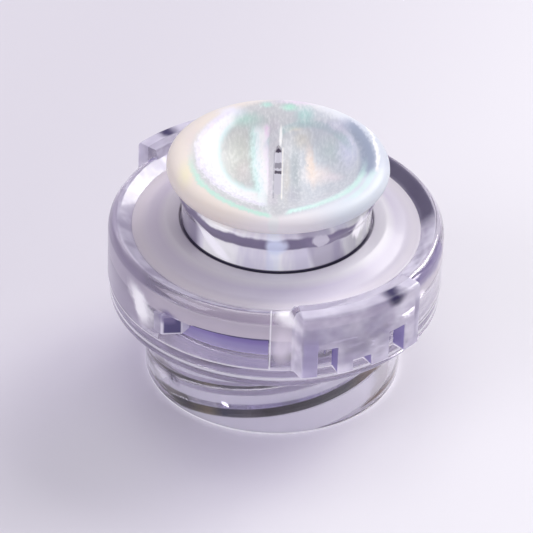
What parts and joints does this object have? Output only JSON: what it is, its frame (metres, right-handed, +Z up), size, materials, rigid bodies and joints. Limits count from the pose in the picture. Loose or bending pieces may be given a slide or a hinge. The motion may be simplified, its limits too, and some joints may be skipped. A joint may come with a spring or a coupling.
{
  "type": "needle free connector",
  "caption": "Needle free luer connector: slit silicone septum on a clear neck, frosted shoulder disc, winged clear lock collar and an internally threaded clear skirt.",
  "frame": {"origin": "centre of the skirt's lower rim, on the plane that the part stands on", "axes": "+Z up along the flow axis to the septum; -Y is the front of the picture, where one wing starts; +X is right of the picture"},
  "size_m": [0.0114, 0.0122, 0.0085],
  "materials": {
    "clear_plastic": "clear polycarbonate, polished, faint violet cast",
    "frosted_plastic": "fine frosted, translucent",
    "silicone": "milky translucent silicone with a pearly bloom"
  },
  "bodies": {
    "root": {"threaded_skirt": "clear_plastic", "flow_insert": "clear_plastic", "valve_neck": "clear_plastic", "shoulder_disc": "frosted_plastic", "lock_collar": "clear_plastic", "septum": "silicone"}
  },
  "joints": []
}
